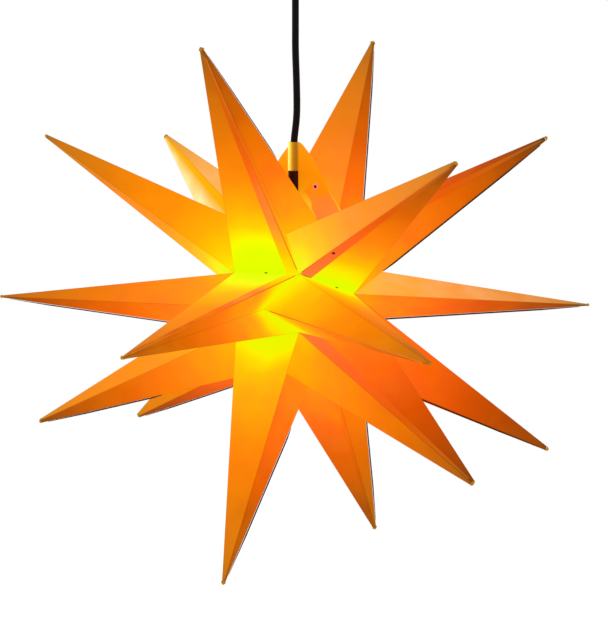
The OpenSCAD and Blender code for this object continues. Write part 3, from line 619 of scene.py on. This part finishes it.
wide_weld = painted_shade_polypropylene("wide_weld_painted_shade", "#1A0A04", "#3C1E08")
fine_weld = painted_shade_polypropylene("fine_weld_painted_shade", "#D4620C", "#EC7E18")
for node, number, begins, wide in weld_lines:
    folds = point_folds[node]
    foot, end = folds[number]
    flange_shape = bmesh.new()
    rows = []
    for share in (begins, begins + weld_rise, *weld_rows, weld_ends):
        place = foot.lerp(end, share)
        middle = sum((a.lerp(b, share) for a, b in folds), Vector()) / len(folds)
        out = (place - middle).normalized()
        side = out.cross(end - foot).normalized() * flange_t / 2
        high = out * flange_out * wide * (weld_low if share in (begins, weld_ends) else 1)
        top = side * flange_top_share
        rows.append([flange_shape.verts.new(star_centre + place + offset)
                     for offset in (-side, high - top, high + top, side)])
    for low_row, high_row in zip(rows, rows[1:]):
        for i in range(len(low_row)):
            j = (i + 1) % len(low_row)
            flange_shape.faces.new((low_row[i], low_row[j], high_row[j], high_row[i]))
    flange_shape.faces.new(rows[0])
    flange_shape.faces.new(rows[-1][::-1])
    bmesh.ops.recalc_face_normals(flange_shape, faces=flange_shape.faces)
    name = f"{node}_weld_{number}"
    pressed = wide_weld if wide > fine_up_to else fine_weld
    linked(name, mesh_of(name, flange_shape), pressed, body_of_gore[int(node[-1])])

# Where two points meet, a short dark bead of painted shade lies near the middle of the seam, at the slit
# between their feet, and the pinch at the foot of a lap is painted dark with shade. The seams between the
# halves have neither.
slit_mark_l, slit_mark_w, bead_h = 0.0034, 0.0012, 0.0004
middle_slit_mark, side_slit_mark = 0.5, 0.68
pinch_w, pinch_up = 0.0015, 0.0013
bead_segments, bead_rings = 16, 8


def bead(shape, seam, share, length, width, up=0.0):
    """A flat, rounded bead that lies along a seam, or a little above it."""
    place = seam[0].lerp(seam[1], share)
    along = (seam[1] - seam[0]).normalized()
    across = place.cross(along).normalized()
    outward = along.cross(across)
    turn = Matrix((along, across, outward)).transposed().to_4x4()
    size = Matrix.Diagonal((length / 2, width / 2, bead_h, 1))
    seat = Matrix.Translation(star_centre + place + outward * (bead_h + up))
    bmesh.ops.create_uvsphere(shape, u_segments=bead_segments, v_segments=bead_rings, radius=1,
                              matrix=seat @ turn @ size)


def bead_piece(name, shape, material, body):
    """A piece made of beads, from the shape that holds them."""
    mesh = mesh_of(name, shape)
    mesh.shade_smooth()
    linked(name, mesh, material, body)


slit_painted_shade = painted_shade_polypropylene("slit_painted_shade_polypropylene", "#2E1C04", "#4E3808")
pinch_painted_shade = painted_shade_polypropylene("pinch_painted_shade_polypropylene", "#7E1C04", "#B83A06")
# By gore: how far along the right-hand seam its pinch lies, and the pinch's length. A seam runs between
# two of a point's feet, which are numbered as its folds are.
for gore, pinch_share, pinch_l in ((1, 0.11, 0.012), (2, 0.05, 0.006), (4, 0.11, 0.012), (5, 0.05, 0.006)):
    mid_feet, right_feet, left_feet = [[foot for foot, _ in point_folds[f"{ring}_point_{gore}"]]
                                       for ring in ("mid", "right", "left")]
    right_seam = (right_feet[3], right_feet[0])
    slit_marks = bmesh.new()
    bead(slit_marks, (mid_feet[3], mid_feet[2]), middle_slit_mark, slit_mark_l, slit_mark_w)
    bead(slit_marks, right_seam, side_slit_mark, slit_mark_l, slit_mark_w)
    bead(slit_marks, (left_feet[1], left_feet[0]), side_slit_mark, slit_mark_l, slit_mark_w)
    bead_piece(f"stitches_{gore}", slit_marks, slit_painted_shade, body_of_gore[gore])
    # A dark bead of painted shade at the pinch
    pinch = bmesh.new()
    bead(pinch, right_seam, pinch_share, pinch_l, pinch_w, pinch_up)
    bead_piece(f"pinch_{gore}", pinch, pinch_painted_shade, body_of_gore[gore])

# The welded ends: where a point's layers meet, they are pressed and welded into a blunt, rounded bead, so
# the sheet there is darker and browner, in its own colour and in its painted glow.
weld_stops = [(35, "#C08428"), (305, "#B07418")]
welded_sheet = glow_painted_polypropylene("welded_polypropylene", weld_stops, weld_stops, "#C8A060")
dress(welded_sheet, "front_tips", "rear_tips")

# The seam laps: along these folds the sheet is doubled, lapped and welded, and one rivet holds each lap.
# Two layers take more of the light, so a lap's painted glow is pinker and deeper than the panel that it
# lies on.
lap_stops = [(35, "#F4F400"), (82, "#FFE400"), (98, "#FFC800"), (112, "#FFA820"), (126, "#FF8832"),
             (146, "#FF782E"), (172, "#FA6816"), (210, "#E05C08"), (260, "#C8600C"), (305, "#9A6420")]
pink_lap_stops = [(35, "#FF8038"), (90, "#FF7C3A"), (130, "#FE6C24"), (165, "#F6640E"), (200, "#E05C08"),
                  (250, "#C86010"), (305, "#8A5A20")]
doubled_sheet = glow_painted_polypropylene("doubled_polypropylene", lap_stops, pink_lap_stops, "#FFB890")
# A lap on a side point leans out sideways by more than this, and its painted glow is the pinker kind
side_lean = 0.5
for node in ("front_laps", "rear_laps"):
    corners = []
    for solid in solids_of(node):
        far_end = max(solid, key=lambda corner: corner.length)
        leans_out = abs(far_end.normalized().x) > side_lean
        corners += [(corner + star_centre, float(leans_out)) for corner in solid]
    lap_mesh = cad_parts[node].data
    nearest = [min(corners, key=lambda corner: (corner[0] - vert.co).length) for vert in lap_mesh.vertices]
    lap_tone = lap_mesh.attributes.new("tone", "FLOAT", "POINT")
    lap_tone.data.foreach_set("value", [tone for _, tone in nearest])
dress(doubled_sheet, "front_laps", "rear_laps")


def bronzed_steel():
    # Steel, stamped and chemically bronzed: dark brown with a warm, worn rim.
    material, tree = new_material("bronzed_steel")
    place = add(tree, "TexCoord").outputs["Object"]
    worn = add(tree, "TexNoise", Vector=place, Scale=1 / 0.001, Detail=3.0).outputs[0]
    shade = add(tree, "Mix", {"data_type": "RGBA"}, Factor=worn, _6=colour("#2A0E08"), _7=colour("#4A2010"))
    shader = add(tree, "BsdfPrincipled", Base_Color=shade.outputs[2])
    shader.inputs["Metallic"].default_value = 0.7
    shader.inputs["Roughness"].default_value = 0.45
    finish_material(tree, shader)
    return material


bronzed = bronzed_steel()
dress(bronzed, "front_rivet", "rear_rivet")

# The closure: the rear half's tall flap stands behind the cord, and the front half's two tabs lie on it
# and snap on with two buttons. Flap and tabs are the same sheet; a button is a soft ring and a dark stud.
# Flap, tabs and rings glow with painted lamp light, which on flap and tabs is reckoned by height alone
flap_stops = [(35, "#FFC828"), (116, "#FFC628"), (128, "#FF9C08"), (142, "#FF9204"), (158, "#FF9C0C"),
              (172, "#F8A81C"), (305, "#E09A20")]
upwards = (0, 0, 1)
dress(glow_painted_polypropylene("flap_polypropylene_painted_glow", flap_stops, flap_stops, "#FFC890", along=upwards),
      "hanging_flap")
tab_stops = [(35, "#FF9A60"), (100, "#FF8A3C"), (120, "#FF862E"), (130, "#FF8E08"), (142, "#FF9404"),
             (305, "#E09A20")]
dress(glow_painted_polypropylene("tab_polypropylene_painted_glow", tab_stops, tab_stops, "#FFC890", along=upwards),
      "closing_tabs")
ring_stops = [(35, "#FF8A60"), (305, "#FF8A60")]
dress(glow_painted_polypropylene("soft_ring_painted_glow", ring_stops, ring_stops, "#FF8A60"), "snap_rings")
dress(bronzed, "snap_studs")

# The hanging sleeve: a thin brass tube round the cord, drawn and polished, riveted to the flap's top. It
# turns on the cord and stands on the collar.
sleeve_r = 0.005
# The way across the sleeve from its painted highlight to its painted shade
highlight_to_shade = (0.85, 0.53, 0)


def painted_light_brass():
    # Drawn brass tube under a thin lacquer, with painted light: a pale, bright painted highlight on one
    # side, brown painted shade on the other. The lines of the drawing are 0.4 mm wide, coarser than the real
    # ones, so that they show.
    material, tree = new_material("drawn_brass_painted_light")
    place = add(tree, "TexCoord").outputs["Object"]
    side = add(tree, "VectorMath", {"operation": "DOT_PRODUCT"}, _0=place, _1=highlight_to_shade)
    round_it = add(tree, "MapRange", Value=side.outputs["Value"], From_Min=-sleeve_r, From_Max=sleeve_r)
    # Painted light across the sleeve: a pale highlight on one side, brown shade on the other
    light_and_shade_ramp = add(tree, "ValToRGB", Fac=round_it.outputs[0])
    ramp = light_and_shade_ramp.color_ramp
    for position, code in ((0.2, "#FFE850"), (0.42, "#CC9A04"), (0.62, "#A87400"), (0.82, "#A06C00")):
        ramp.elements.new(position).color = colour(code)
    ramp.elements[0].color = colour("#FFFF90")
    ramp.elements[-1].color = colour("#DCA008")
    lines = add(tree, "Mapping", Vector=place)
    lines.inputs["Scale"].default_value = (2500, 2500, 60)
    drawn = add(tree, "TexNoise", Vector=lines.outputs[0], Scale=1.0, Detail=2.0).outputs[0]
    rough = add(tree, "MapRange", Value=drawn, To_Min=0.38, To_Max=0.50)
    shader = add(tree, "BsdfPrincipled", Base_Color=light_and_shade_ramp.outputs[0], Roughness=rough.outputs[0])
    shader.inputs["Metallic"].default_value = 0.15
    shader.inputs["Specular IOR Level"].default_value = 0.15
    finish_material(tree, shader)
    return material


dress(painted_light_brass(), "hanging_sleeve")
dress(brass, "sleeve_rivet")

# The photograph's surroundings: a plain pale floor well below the star, white all round, and one large
# soft light from the upper left with a weak one opposite.
floor_z = -1.0
floor_r = 3.0
floor_shape = bmesh.new()
bmesh.ops.create_circle(floor_shape, cap_ends=True, segments=96, radius=floor_r)
floor = placed("floor", mesh_of("floor", floor_shape))
floor.location.z = floor_z
paint, paint_tree = new_material("pale_matt_paint")
paint_shader = add(paint_tree, "BsdfPrincipled", Base_Color=colour("#FAFAFA"), Roughness=0.9)
paint_shader.inputs["Specular IOR Level"].default_value = 0
finish_material(paint_tree, paint_shader)
floor.data.materials.append(paint)

world = bpy.data.worlds.new("studio")
world.use_nodes = True
world.node_tree.nodes["Background"].inputs["Color"].default_value = (1, 1, 1, 1)
world.node_tree.nodes["Background"].inputs["Strength"].default_value = 1.0
bpy.context.scene.world = world


def soft_light(name, direction, distance, size, power):
    """A square light that looks at the star, so many metres away and across, in watts."""
    data = bpy.data.lights.new(name, "AREA")
    data.size = size
    data.energy = power
    light = placed(name, data)
    light.location = star_centre + Vector(direction).normalized() * distance
    light.rotation_mode = "QUATERNION"
    light.rotation_quaternion = Vector(direction).to_track_quat("Z", "Y")


soft_light("key_light", direction=(-1.0, -0.45, 0.45), distance=2.5, size=1.2, power=25)
soft_light("fill_light", direction=(1.4, -0.6, 0.3), distance=3.0, size=1.5, power=8)
